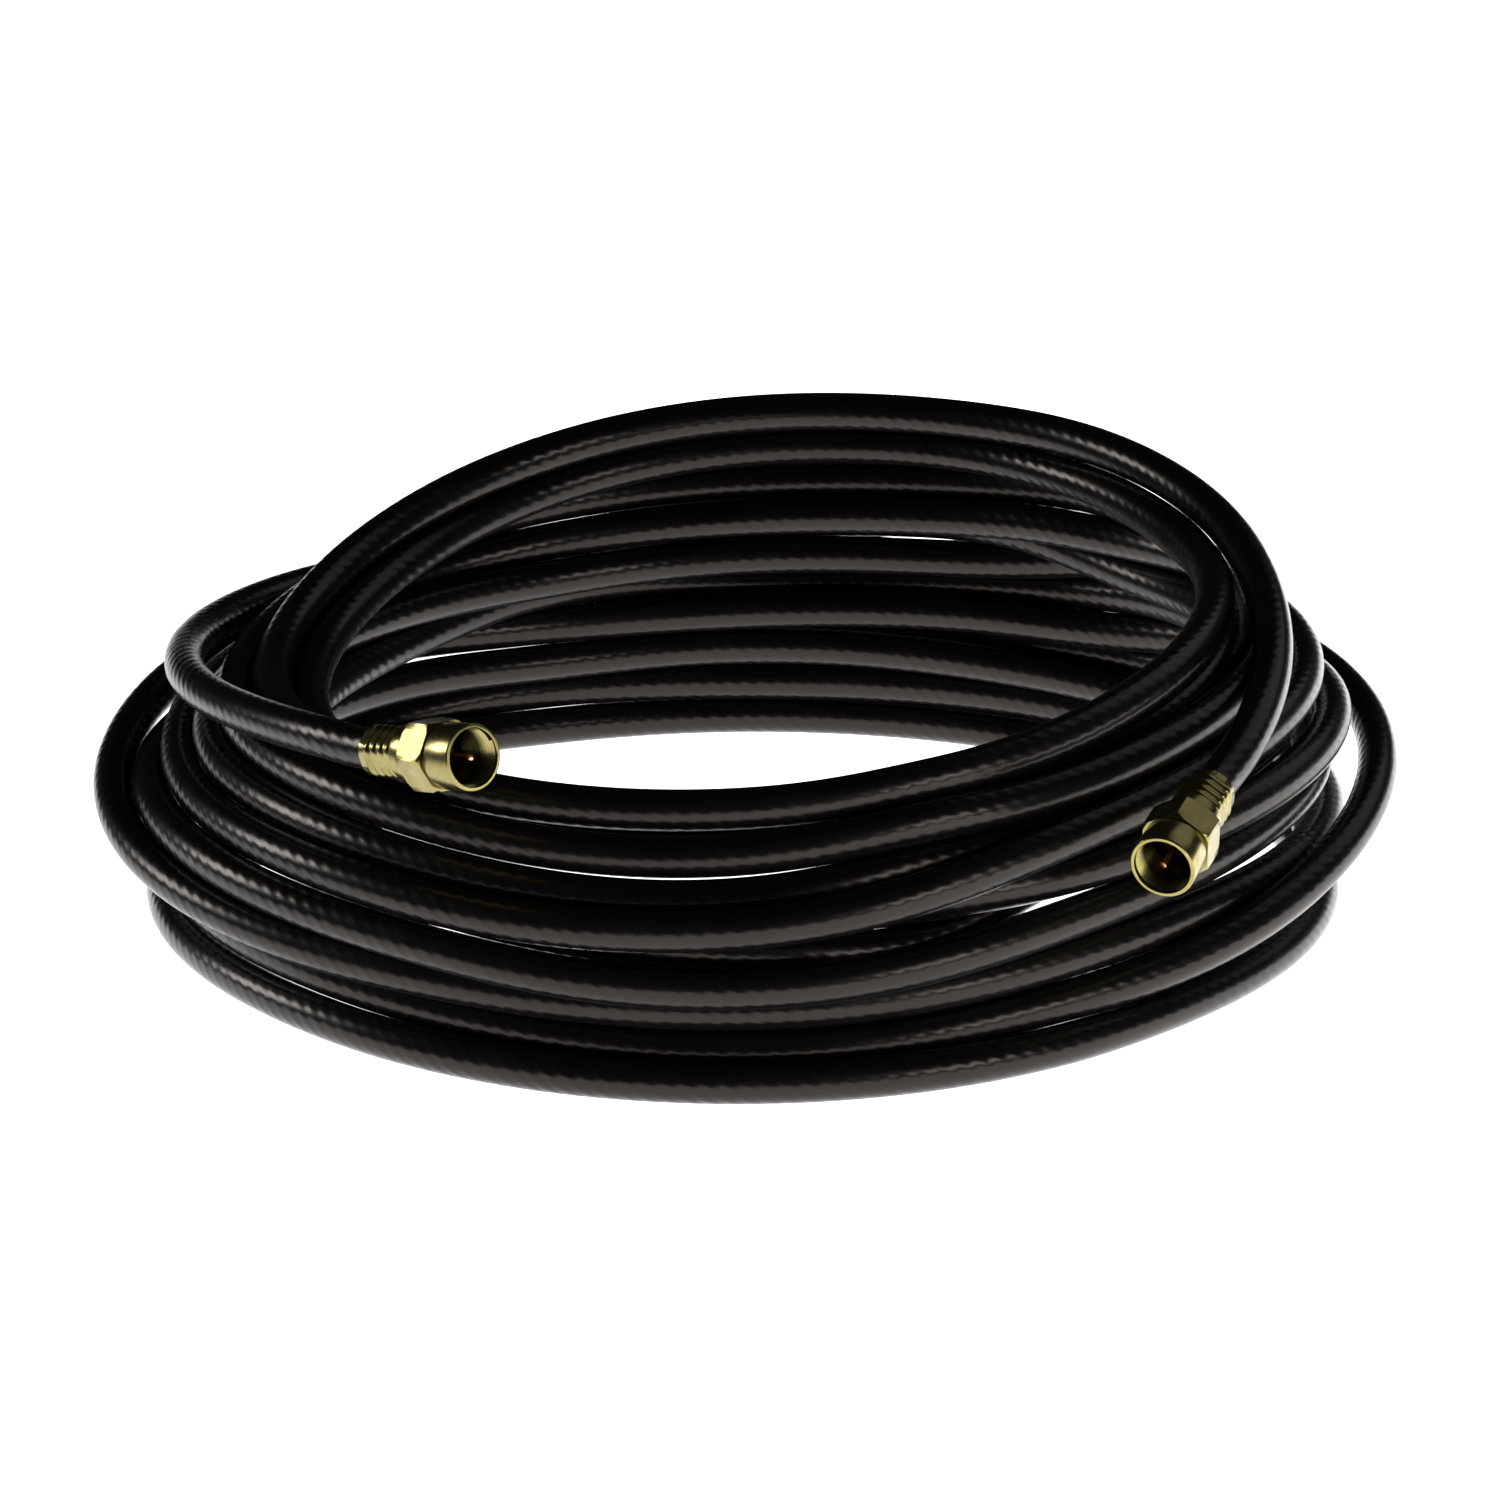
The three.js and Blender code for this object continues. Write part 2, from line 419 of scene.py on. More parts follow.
@dataclass(frozen=True)
class FloorFinish:
    """White paper that glows, a painted light brighter to the right, with a painted dark patch of
    shade to the left.
    """

    white: float = 0.86
    # The colour of the painted dark patch of shade.
    black: float = 0.02
    glow: float = 3.4
    left_share: float = 0.2
    half_span: float = 0.5
    shade_edge: float = 0.17
    shade_slant: float = 0.14
    shade_blur: float = 0.2
    roughness: float = 0.8
    roughness_spread: float = 0.1
    roughness_scale: float = 60.0

    def material(self) -> bpy.types.Material:
        """Return the material."""
        shader = Shader("floor_paper", Emission_Strength=self.glow)
        right, away, _ = shader.parts(shader.place())
        # Painted shade: a dark patch to the left, with no glow, darkens what the cable reflects
        # there.
        edge = away.math("MAXIMUM", 0.0) * self.shade_slant + self.shade_edge
        paper = ((right + edge) * (1 / self.shade_blur) + 1.0).clipped(0.0, 1.0)
        share = (right * (0.5 / self.half_span) + 0.5).clipped(0.0, 1.0)
        # Painted light: the floor's glow grows towards the right.
        glow = (share * (1 - self.left_share) + self.left_share) * paper
        shader.plug_in(
            Base_Color=shader.blend(paper, (self.black,) * 3, (self.white,) * 3),
            Roughness=shader.noise(self.roughness_scale) * self.roughness_spread + self.roughness,
            Emission_Color=shader.blend(glow, (0.0, 0.0, 0.0), (1.0, 1.0, 1.0)),
        )
        return shader.material


# Meshes


def add_piece(
    name: str,
    shape: bmesh.types.BMesh,
    material: bpy.types.Material,
    crease: float | None = None,
) -> bpy.types.Object:
    """Make an object at the origin from a bmesh, in the scene's collection.

    Args:
        name: the piece's name.
        shape: its mesh, in place; it is freed.
        material: its finish.
        crease: the angle in degrees past which an edge stays sharp, or None for all smooth.

    Returns:
        The object.
    """
    for face in shape.faces:
        face.smooth = True
    if crease is not None:
        for edge in shape.edges:
            sharp = len(edge.link_faces) != 2
            edge.smooth = not (sharp or edge.calc_face_angle(0.0) > math.radians(crease))
    mesh = bpy.data.meshes.new(name)
    shape.to_mesh(mesh)
    shape.free()
    mesh.materials.append(material)
    piece = bpy.data.objects.new(name, mesh)
    bpy.context.scene.collection.objects.link(piece)
    return piece


def lathe(corners: list[tuple[float, float]], segments: int) -> bmesh.types.BMesh:
    """Turn a closed profile about +Z.

    Args:
        corners: radius and height of each corner, in order.
        segments: steps round.

    Returns:
        The closed shape, its faces outward.
    """
    shape = bmesh.new()
    ring = [shape.verts.new((radius, 0.0, height)) for radius, height in corners]
    edges = [shape.edges.new((ring[i - 1], ring[i])) for i in range(len(ring))]
    bmesh.ops.spin(
        shape,
        geom=ring + edges,
        cent=(0, 0, 0),
        axis=(0, 0, 1),
        angle=2 * math.pi,
        steps=segments,
        use_merge=True,
    )
    bmesh.ops.remove_doubles(shape, verts=shape.verts, dist=1e-5)
    bmesh.ops.recalc_face_normals(shape, faces=shape.faces)
    return shape


def hexagon_reach(across: float, angle: float) -> float:
    """Return how far a hexagon's side lies from its middle.

    Args:
        across: its width across the flats.
        angle: the direction, in radians, with a corner at 0.

    Returns:
        The distance.
    """
    part = (angle % (math.pi / 3)) - math.pi / 6
    return across / 2 / math.cos(part)


def press_in(vert: bmesh.types.BMVert, across: float) -> None:
    """Bring a corner that lies outside a hexagon in to its side.

    Args:
        vert: the corner.
        across: the hexagon's width across the flats.
    """
    radius = math.hypot(vert.co.x, vert.co.y)
    limit = hexagon_reach(across, math.atan2(vert.co.y, vert.co.x))
    if radius > limit:
        vert.co.x *= limit / radius
        vert.co.y *= limit / radius


# Cable


def ease(
    share: np.ndarray, start: np.ndarray, leaving: np.ndarray, end: np.ndarray, reaching: np.ndarray
) -> np.ndarray:
    """Run a cubic from one value to another.

    Args:
        share: how far along, 0 to 1.
        start: the value at 0.
        leaving: its slope there.
        end: the value at 1.
        reaching: its slope there.

    Returns:
        The values.
    """
    return (
        (2 * share**3 - 3 * share**2 + 1) * start
        + (share**3 - 2 * share**2 + share) * leaving
        + (-2 * share**3 + 3 * share**2) * end
        + (share**3 - share**2) * reaching
    )


@dataclass
class CoilRoute:
    """The line that the cable follows, worked out turn by turn.

    Each row of turns gives, for one turn, the radius and height of the cable's centre at the
    right, back, left and front of the coil. front_left and front_right give them half way, and
    crossings gives a turn, its angle, radius and height where turns change places. Between them
    the line is a smooth curve, and the turns are then pushed apart wherever they would run into
    each other.
    """

    turns: tuple = (
        ((89.0, 57.5), (87.0, 64.6), (81.0, 41.5), (80.5, 45.3)),
        ((82.5, 57.5), (89.0, 57.3), (74.5, 38.5), (76.0, 39.0)),
        ((85.5, 51.0), (91.0, 50.2), (88.0, 38.0), (85.0, 38.3)),
        ((92.0, 50.0), (87.0, 44.5), (92.5, 32.5), (88.5, 31.7)),
        ((89.0, 43.5), (95.0, 40.8), (98.0, 28.5), (94.5, 29.4)),
        ((98.6, 43.0), (88.5, 37.0), (85.0, 31.5), (88.5, 24.8)),
        ((95.5, 36.5), (95.5, 28.5), (78.5, 30.0), (82.0, 26.0)),
        ((103.5, 35.0), (90.0, 25.6), (103.5, 25.5), (95.0, 19.1)),
        ((100.5, 27.5), (98.5, 19.5), (108.3, 23.5), (89.5, 14.0)),
        ((102.8, 17.6), (91.0, 18.9), (92.0, 17.5), (83.0, 10.0)),
        ((101.0, 10.5), (93.5, 10.3), (101.0, 3.7), (94.7, 3.45)),
        ((102.0, 3.45), (94.8, 3.45), (98.5, 10.4), (88.8, 6.4)),
        ((111.6, 25.5), (105.0, 33.0), (98.0, 43.5)),
    )
    front_left: tuple = (
        (80.0, 43.5), (74.5, 38.8), (84.5, 38.5), (87.0, 32.5), (92.0, 29.0), (85.5, 27.5),
        (79.5, 27.5), (94.0, 22.4), (94.0, 16.5), (86.0, 13.0), (93.5, 3.45), (91.5, 9.8),
    )
    front_right: tuple = (
        (79.0, 50.5), (76.0, 45.0), (83.0, 43.7), (79.0, 38.2), (86.0, 37.0), (80.0, 31.0),
        (87.0, 30.3), (88.5, 23.6), (90.2, 17.0), (85.0, 7.0), (92.3, 3.45), (92.3, 10.3),
    )
    crossings: tuple = (
        (7, 135, 95.0, 26.5), (8, 120, 103.0, 26.5), (8, 150, 107.0, 32.0), (8, 165, 108.6, 28.0),
        (9, 135, 91.5, 19.2), (12, 120, 104.0, 35.0), (12, 150, 101.0, 39.0), (12, 165, 99.0, 41.2),
    )
    from_b: tuple = ((-40.0, 100.52, 42.92), (-26.0, 96.5, 49.5), (-13.0, 92.0, 53.6))
    to_a: tuple = ((198.0, 90.5, 46.0), (214.0, 88.5, 49.0), (230.22, 91.63, 52.01))
    levels: tuple = ((24, 400, 0.12), (48, 300, 0.06), (96, 200, 0.02), (200, 200, 0.0))
    spare: float = 0.02
    first_step: float = 1.8
    push_share: float = 0.9
    smoothing: float = 0.8
    held_share: float = 0.02

    def marks(self) -> tuple[np.ndarray, np.ndarray, np.ndarray]:
        """Return the angles in radians, radii and heights of the marks along the cable."""
        rows = list(self.from_b)
        for turn, quarters in enumerate(self.turns):
            for quarter, (radius, height) in enumerate(quarters):
                rows.append((360 * turn + 90 * quarter, radius, height))
        for angle, places in ((225, self.front_left), (315, self.front_right)):
            for turn, (radius, height) in enumerate(places):
                rows.append((360 * turn + angle, radius, height))
        rows += [(360 * turn + angle, *place) for turn, angle, *place in self.crossings]
        last = 360 * (len(self.turns) - 1)
        rows += [(last + angle, radius, height) for angle, radius, height in self.to_a]
        angles, radii, heights = np.array(sorted(rows)).T
        return np.radians(angles), radii, heights

    @staticmethod
    def curve(at: np.ndarray, known: np.ndarray, values: np.ndarray) -> np.ndarray:
        """Run a smooth curve through values.

        Args:
            at: where it is wanted.
            known: where it is known.
            values: its values there.

        Returns:
            Its values at each place in at.
        """
        slope = np.gradient(values, known)
        k = np.clip(np.searchsorted(known, at) - 1, 0, len(known) - 2)
        span = known[k + 1] - known[k]
        share = (at - known[k]) / span
        return ease(share, values[k], span * slope[k], values[k + 1], span * slope[k + 1])

    def push_apart(
        self, radii: np.ndarray, heights: np.ndarray, lag: int, rounds: int, hold: float
    ) -> tuple[np.ndarray, np.ndarray]:
        """Part the turns that run into each other, and smooth the line.

        Args:
            radii: the radius at each step.
            heights: the height at each step.
            lag: steps to the turn.
            rounds: how many times to push.
            hold: how strongly a step returns to where it was.

        Returns:
            The new radii and heights.
        """
        count = len(radii)
        rest = (radii.copy(), heights.copy())
        ends = max(2, round(lag * self.held_share))
        need = CABLE_DIAMETER + self.spare
        for _ in range(rounds):
            out = np.zeros(count)
            up = np.zeros(count)
            for shift in range(lag, count, lag):
                across = radii[shift:] - radii[:-shift]
                rise = heights[shift:] - heights[:-shift]
                apart = np.hypot(across, rise) + 1e-9
                push = np.maximum(need - apart, 0) / 2 / apart
                out[shift:] += push * across
                up[shift:] += push * rise
                out[:-shift] -= push * across
                up[:-shift] -= push * rise
            radii += self.push_share * out
            heights += self.push_share * up
            for line, start in zip((radii, heights), rest):
                bend = np.zeros(count)
                bend[2:-2] = (
                    4 * line[1:-3] + 4 * line[3:-1] - line[:-4] - 6 * line[2:-2] - line[4:]
                ) / 16
                line += self.smoothing * bend + hold * (start - line)
                line[:ends] = start[:ends]
                line[-ends:] = start[-ends:]
            np.maximum(heights, CABLE_RADIUS, out=heights)
        return radii, heights

    def points(self) -> np.ndarray:
        """Return the line from one plug's heel to the other's, in millimetres."""
        known, radii, heights = self.marks()
        start, end = known[0], known[-1]
        angles = np.arange(start, end, math.radians(self.first_step))
        radii = self.curve(angles, known, radii)
        heights = self.curve(angles, known, heights)
        for lag, rounds, hold in self.levels:
            count = math.ceil((end - start) * lag / 2 / math.pi) + 1
            finer = start + 2 * math.pi / lag * np.arange(count)
            inside = np.clip(finer, angles[0], angles[-1])
            radii = self.curve(inside, angles, radii)
            heights = self.curve(inside, angles, heights)
            angles = finer
            radii, heights = self.push_apart(radii, heights, lag, rounds, hold)
        kept = angles <= end
        return np.stack(
            [radii * np.cos(angles), radii * np.sin(angles), heights], axis=1
        )[kept]


@dataclass(frozen=True)
class PlugPlace:
    """Where a plug's rear face is, and which way it points, in millimetres.

    nut_turn and crimp_turn are how far, in degrees, its two hexagons are turned about its axis.
    """

    key: Key
    heel: tuple[float, float, float]
    toe: tuple[float, float, float]
    nut_turn: float
    crimp_turn: float

    def aim(self) -> np.ndarray:
        """Return the unit direction from the cable towards the plug's mouth."""
        along = np.array(self.toe) - np.array(self.heel)
        return along / np.linalg.norm(along)

    def to_frame(self) -> Matrix:
        """Return the transform from the plug's own millimetres to the frame's metres."""
        turn = Vector((0, 0, 1)).rotation_difference(Vector(self.aim()))
        return (
            Matrix.Translation(Vector(self.heel) * MM)
            @ turn.to_matrix().to_4x4()
            @ Matrix.Scale(MM, 4)
        )


PLUG_PLACES = (
    PlugPlace(Key.A, (-58.629, -70.417, 52.008), (-42.46, -88.819, 57.001), 38.0, 24.0),
    PlugPlace(Key.B, (77.004, -64.612, 42.922), (67.815, -87.299, 37.838), 3.0, 3.0),
)


@dataclass
class Cable:
    """The black cable: one tube along the coil's route, its ends inside the ferrules."""

    route: CoilRoute = field(default_factory=CoilRoute)
    sides: int = 22
    step: float = 2.5
    lead_in: float = 16.0
    inside: float = 7.0
    bend_steps: int = 12
    straight_steps: int = 5
    centre: np.ndarray = field(init=False)

    def join_plug(self, line: np.ndarray, place: PlugPlace) -> np.ndarray:
        """Bring the last stretch of a line straight into a plug.

        Args:
            line: the line, which ends at the plug's heel.
            place: the plug's place.

        Returns:
            The line with its new end.
        """
        steps = np.linalg.norm(np.diff(line, axis=0), axis=1)
        left = steps[::-1].cumsum()[::-1]
        cut = int(np.argmax(left < self.lead_in))
        begin, way = line[cut], line[cut] - line[cut - 1]
        way = way / np.linalg.norm(way)
        heel, aim = np.array(place.heel), place.aim()
        reach = np.linalg.norm(heel - begin)
        share = np.linspace(0, 1, self.bend_steps)[1:, None]
        bend = ease(share, begin, way * reach, heel, aim * reach)
        straight = heel + np.linspace(0, self.inside, self.straight_steps)[1:, None] * aim
        return np.concatenate([line[: cut + 1], bend, straight])

    def centreline(self) -> np.ndarray:
        """Return the cable's centreline in metres, in even steps."""
        line = self.route.points()
        line = self.join_plug(line, PLUG_PLACES[0])
        line = self.join_plug(line[::-1], PLUG_PLACES[1])[::-1]
        apart = np.linalg.norm(np.diff(line, axis=0), axis=1)
        along = np.concatenate([[0], apart.cumsum()])
        even = np.linspace(0, along[-1], int(along[-1] / self.step))
        return np.stack([np.interp(even, along, axis) for axis in line.T], axis=1) * MM

    def build(self) -> bpy.types.Object:
        """Return the cable's mesh, with its map along and round."""
        self.centre = self.centreline()
        count = len(self.centre)
        shape = bmesh.new()
        shape.loops.layers.uv.new(JACKET_MAP)
        bmesh.ops.create_grid(
            shape, x_segments=count - 1, y_segments=self.sides, size=0.5, calc_uvs=True
        )
        ahead = np.gradient(self.centre, axis=0)
        ahead /= np.linalg.norm(ahead, axis=1)[:, None]
        outward = np.cross(ahead, (0, 0, 1))
        outward /= np.linalg.norm(outward, axis=1)[:, None]
        upward = np.cross(outward, ahead)
        for vert in shape.verts:
            ring = round((vert.co.x + 0.5) * (count - 1))
            turn = (vert.co.y + 0.5) * 2 * math.pi
            reach = outward[ring] * math.cos(turn) + upward[ring] * math.sin(turn)
            vert.co = self.centre[ring] + reach * CABLE_RADIUS * MM
        bmesh.ops.remove_doubles(shape, verts=shape.verts, dist=1e-6)
        rims = [edge for edge in shape.edges if edge.is_boundary]
        bmesh.ops.holes_fill(shape, edges=rims, sides=0)
        bmesh.ops.recalc_face_normals(shape, faces=shape.faces)
        length = float(np.linalg.norm(np.diff(self.centre, axis=0), axis=1).sum())
        piece = add_piece("cable", shape, JacketFinish(length).material())
        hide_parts("cable_coil", "cable_end_a", "cable_end_b")
        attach(piece, "coil")
        log.info("cable: %d rings, %.3f m", count, length)
        return piece


# Plugs


@dataclass
class Plug:
    """A crimped screw-on plug: ferrule, post, core, wire and a nut that turns.

    Its sizes are in millimetres, and its heights run from its rear face along its axis. Each
    profile goes round a piece's section, as radius and height.
    """

    place: PlugPlace
    brass: bpy.types.Material
    post_shade_metal: bpy.types.Material
    copper: bpy.types.Material
    foam: bpy.types.Material
    segments: int = 72
    crease: float = 30.0

    ferrule_length: float = 11.7
    ferrule_flats: float = 8.55
    ferrule_bore: float = 7.8
    nose_diameter: float = 9.6
    nose_length: float = 3.2
    nose_step: float = 0.12
    nose_gap: float = 0.15
    nose_back_round: float = 0.25
    nose_front_round: float = 0.45
    bore_flare: float = 0.25
    bore_chamfer: float = 0.2
    bore_margin: float = 0.15
    edge_break: float = 0.1
    ridge_count: int = 4
    ridge_pitch: float = 1.8
    ridge_height: float = 0.35
    ridge_profile: tuple = (
        (0.12, 0.0),
        (0.3, 0.8),
        (0.42, 1.0),
        (0.6, 1.0),
        (0.72, 0.8),
        (0.9, 0.0),
    )
    flat_groove: float = 0.16
    crimp_diameter: float = 9.3

    post_diameter: float = 7.2
    post_bore: float = 5.2
    post_seat: float = 3.5
    post_chamfer: float = 0.3
    post_countersink: float = 0.25
    flange_diameter: float = 8.7
    flange_thickness: float = 1.4
    flange_back_round: float = 0.12
    flange_front_round: float = 0.25

    core_diameter: float = 4.6
    core_edge: float = 0.2
    core_dimple: float = 0.25
    dimple_depth: float = 0.12
    wire_play: float = 0.06
    wire_diameter: float = 1.02
    wire_setback: float = 0.5
    wire_sides: int = 24
    wire_slant: float = 0.35
    wire_sink: float = 0.2
    wire_burr: float = 0.12

    nut_start: float = 12.2
    nut_flats: float = 11.1
    hex_length: float = 6.2
    collar_diameter: float = 11.0
    collar_length: float = 6.6
    thread_diameter: float = 9.52
    thread_pitch: float = 0.794
    thread_height: float = 0.34
    thread_root: float = 0.05
    thread_share: float = 0.42
    thread_clear: float = 0.3
    thread_inset: float = 0.7
    lip_thickness: float = 2.0
    lip_play: float = 0.4
    nut_chamfer: float = 0.5
    chamfer_steps: int = 6
    rear_chamfer: float = 0.2
    rear_inset: float = 0.35
    nut_margin: float = 0.3
    collar_root: tuple = ((0.25, 0.01), (0.25, 0.35), (0.05, 0.5), (0.0, 0.75))
    mouth_flare: tuple = ((0.12, 0.0), (0.03, 0.08), (0.0, 0.25))
    mouth_round: float = 0.3
    bore_skin: float = 0.1
    # Where the painted shade in the bore starts, and where it is full.
    lit_depth: float = 1.9
    dark_depth: float = 4.2

    def name(self, word: str) -> str:
        """Return a piece's name for this plug.

        Args:
            word: what the piece is.

        Returns:
            The word with the plug's key.
        """
        return f"{word}_{self.place.key.value}"

    def finish(
        self,
        word: str,
        shape: bmesh.types.BMesh,
        material: bpy.types.Material,
        node: str,
        body: str,
        slot: str,
        turn: float = 0.0,
    ) -> bpy.types.Object:
        """Put a piece in its place and hide the CAD node that it replaces.

        Args:
            word: what the piece is.
            shape: its mesh in the plug's own millimetres.
            material: its finish.
            node: the CAD node that it replaces.
            body: the body that it rides on.
            slot: not used.
            turn: how far it is turned about the plug's axis, in degrees.

        Returns:
            The piece.
        """
        clock = Matrix.Rotation(math.radians(turn), 4, "Z")
        bmesh.ops.transform(shape, matrix=self.place.to_frame() @ clock, verts=shape.verts)
        piece = add_piece(self.name(word), shape, material, self.crease)
        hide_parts(self.name(node))
        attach(piece, body)
        log.info("%s: %d faces", piece.name, len(piece.data.polygons))
        return piece

    def rounded(self, radius: float, height: float, size: float, quarter: int) -> list:
        """Return the corners of a rounded outer edge of a turned profile.

        Args:
            radius: the sharp corner's radius.
            height: its height.
            size: the rounding's radius.
            quarter: 0 where the profile goes from the side over the top, 3 where it goes from
                the bottom up the side.

        Returns:
            Radius and height of each corner.
        """
        middle = (radius - size, height - size if quarter == 0 else height + size)
        found = []
        for step in range(5):
            angle = math.pi / 2 * (quarter + step / 4)
            found.append((middle[0] + size * math.cos(angle), middle[1] + size * math.sin(angle)))
        return found

    def ferrule(self) -> bpy.types.Object:
        """Return the sleeve that is crimped to a ridged hexagon behind a plain round nose."""
        crimp_end = self.ferrule_length - self.nose_length
        crest = self.crimp_diameter / 2
        valley = crest - self.ridge_height
        corners = [(self.ferrule_bore / 2, self.bore_flare)]
        corners.append((self.ferrule_bore / 2 + self.bore_chamfer, 0.0))
        corners += [(valley - self.edge_break, 0.0), (valley, self.edge_break)]
        height = crimp_end - self.ridge_pitch * self.ridge_count
        while height < crimp_end - CLOSE:
            for share, level in self.ridge_profile:
                radius = valley + self.ridge_height * level
                corners.append((radius, height + share * self.ridge_pitch))
            height += self.ridge_pitch
        corners += [(valley, crimp_end), (valley + self.edge_break, crimp_end + self.nose_step)]
        nose = self.nose_diameter / 2
        corners += self.rounded(nose, crimp_end + self.nose_gap, self.nose_back_round, 3)
        corners += self.rounded(nose, self.ferrule_length, self.nose_front_round, 0)
        corners.append((self.ferrule_bore / 2, self.ferrule_length))
        shape = lathe(corners, self.segments)
        for vert in shape.verts:
            radius = math.hypot(vert.co.x, vert.co.y)
            on_crimp = vert.co.z <= crimp_end + CLOSE
            if on_crimp and radius >= self.ferrule_bore / 2 + self.bore_margin:
                crestness = min(max((radius - valley) / self.ridge_height, 0), 1)
                press_in(vert, self.ferrule_flats - 2 * self.flat_groove * (1 - crestness))
        return self.finish(
            "brass_ferrule",
            shape,
            self.brass,
            "crimp_ferrule",
            "coil",
            "ferrule_brass",
            self.place.crimp_turn,
        )

    def post(self) -> bpy.types.Object:
        """Return the tube and flange that the nut turns on."""
        flange_start = self.nut_start + self.lip_thickness + self.lip_play
        flange_end = flange_start + self.flange_thickness
        seat = self.ferrule_length - self.post_seat
        corners = [(self.post_bore / 2, seat), (self.post_diameter / 2, seat)]
        corners += [(self.post_diameter / 2, flange_start)]
        flange = self.flange_diameter / 2
        corners += self.rounded(flange, flange_start, self.flange_back_round, 3)
        corners += self.rounded(flange, flange_end, self.flange_front_round, 0)
        corners.append((self.post_bore / 2 + self.post_chamfer, flange_end))
        corners.append((self.post_bore / 2, flange_end - self.post_countersink))
        shape = lathe(corners, self.segments)
        return self.finish(
            "turned_post", shape, self.post_shade_metal, "inner_post", "coil", "post_brass"
        )

    def core(self) -> bpy.types.Object:
        """Return the cable's own foam core inside the post."""
        seat = self.ferrule_length - self.post_seat
        face = self.nut_start + self.lip_thickness + self.lip_play + self.flange_thickness
        hole = self.wire_diameter / 2 + self.wire_play
        outside = self.core_diameter / 2
        edge = self.core_edge
        corners = [(hole, seat), (outside, seat), (outside, face - edge), (outside - edge, face)]
        corners += [(hole + self.core_dimple, face), (hole, face - self.dimple_depth)]
        shape = lathe(corners, self.segments // 2)
        return self.finish("foam_core", shape, self.foam, "dielectric_core", "coil", "foam")

    def wire(self) -> bpy.types.Object:
        """Return the solid wire that stands out of the core, cut off at a slant."""
        seat = self.ferrule_length - self.post_seat
        tip = self.nut_start + self.hex_length + self.collar_length - self.wire_setback
        shape = bmesh.new()
        bmesh.ops.create_cone(
            shape,
            cap_ends=True,
            segments=self.wire_sides,
            radius1=self.wire_diameter / 2,
            radius2=self.wire_diameter / 2,
            depth=tip - seat,
            matrix=Matrix.Translation((0, 0, (tip + seat) / 2)),
        )
        for vert in shape.verts:
            if vert.co.z > tip - CLOSE:
                vert.co.z += vert.co.x * self.wire_slant - self.wire_diameter * self.wire_sink
        rim = [edge for edge in shape.edges if all(v.co.z > seat + 1 for v in edge.verts)]
        bmesh.ops.bevel(
            shape,
            geom=rim,
            offset=self.wire_burr,
            segments=3,
            profile=0.5,
            affect="EDGES",
            material=-1,
        )
        return self.finish("copper_wire", shape, self.copper, "centre_conductor", "coil", "copper")

    def nut(self) -> bpy.types.Object:
        """Return the coupling nut: chamfered hexagon, collar, and a bore with a cut thread."""
        corner = self.nut_flats / 2 / math.cos(math.pi / 6)
        hex_end = self.nut_start + self.hex_length
        nut_end = hex_end + self.collar_length
        bore = self.thread_diameter / 2
        neck = self.post_diameter / 2 + self.lip_play
        lip_end = self.nut_start + self.lip_thickness
        rear = self.rear_chamfer
        corners = [(neck, self.nut_start + rear), (neck + rear, self.nut_start)]
        corners.append((self.nut_flats / 2 - self.rear_inset, self.nut_start))
        steps = self.chamfer_steps
        rises = [step / steps * self.nut_chamfer for step in range(steps + 1)]
        for rise in rises:
            corners.append((corner - self.nut_chamfer + rise, self.nut_start + rise))
        corners.append((corner, (self.nut_start + hex_end) / 2))
        for rise in rises:
            corners.append((corner - rise, hex_end - self.nut_chamfer + rise))
        collar = self.collar_diameter / 2
        corners += [(collar - inset, hex_end + rise) for inset, rise in self.collar_root]
        corners += self.rounded(collar, nut_end, self.mouth_round, 0)
        corners += [(bore + flare, nut_end - depth) for flare, depth in self.mouth_flare]
        corners += [(bore, nut_end - self.lit_depth), (bore, nut_end - self.dark_depth)]
        corners += [(bore, lip_end), (neck, lip_end)]
        shape = lathe(corners, self.segments)
        for vert in shape.verts:
            radius = math.hypot(vert.co.x, vert.co.y)
            on_hexagon = vert.co.z <= hex_end + CLOSE / 2
            if on_hexagon and radius >= self.nut_flats / 2 - self.nut_margin:
                press_in(vert, self.nut_flats)
        thread_start = lip_end + self.lip_play + self.flange_thickness + self.thread_clear
        self.cut_thread(shape, bore, thread_start, nut_end - self.thread_inset)
        # Painted shade: mark the bore's corners for the darkening deep inside.
        self.shade_bore(shape, bore, nut_end)
        return self.finish(
            "hex_nut",
            shape,
            self.brass,
            "coupling_nut",
            self.name("nut"),
            "nut_brass",
            self.place.nut_turn,
        )

    def shade_bore(self, shape: bmesh.types.BMesh, bore: float, mouth: float) -> None:
        """Mark how deep in the bore each corner of the nut lies, 0 near the mouth to 1 inside, as
        the mask of the painted shade that darkens the brass deep in the bore.

        Args:
            shape: the nut.
            bore: the bore's radius.
            mouth: the mouth's height.
        """
        layer = shape.verts.layers.float.new(BORE_SHADE_LAYER)
        for vert in shape.verts:
            if math.hypot(vert.co.x, vert.co.y) < bore + self.bore_skin:
                depth = mouth - vert.co.z - self.lit_depth
                vert[layer] = min(max(depth / (self.dark_depth - self.lit_depth), 0.0), 1.0)

    def cut_thread(self, shape: bmesh.types.BMesh, bore: float, start: float, end: float) -> None:
        """Add a thread's crest, which winds up the bore.

        Args:
            shape: the nut.
            bore: the bore's radius.
            start: where the thread starts.
            end: where it ends.
        """
        turns = (end - start) / self.thread_pitch
        steps = round(turns * self.segments)
        half = self.thread_pitch * self.thread_share
        root = bore + self.thread_root
        profile = ((root, -half), (bore - self.thread_height, 0.0), (root, half))
        ring = [shape.verts.new((radius, 0.0, start + rise)) for radius, rise in profile]
        first = shape.faces.new(ring)
        bmesh.ops.spin(
            shape,
            geom=[first],
            cent=(0, 0, 0),
            axis=(0, 0, 1),
            dvec=(0, 0, (end - start) / steps),
            angle=2 * math.pi * turns,
            steps=steps,
            use_merge=False,
        )
        self.close_thread(shape, ring)

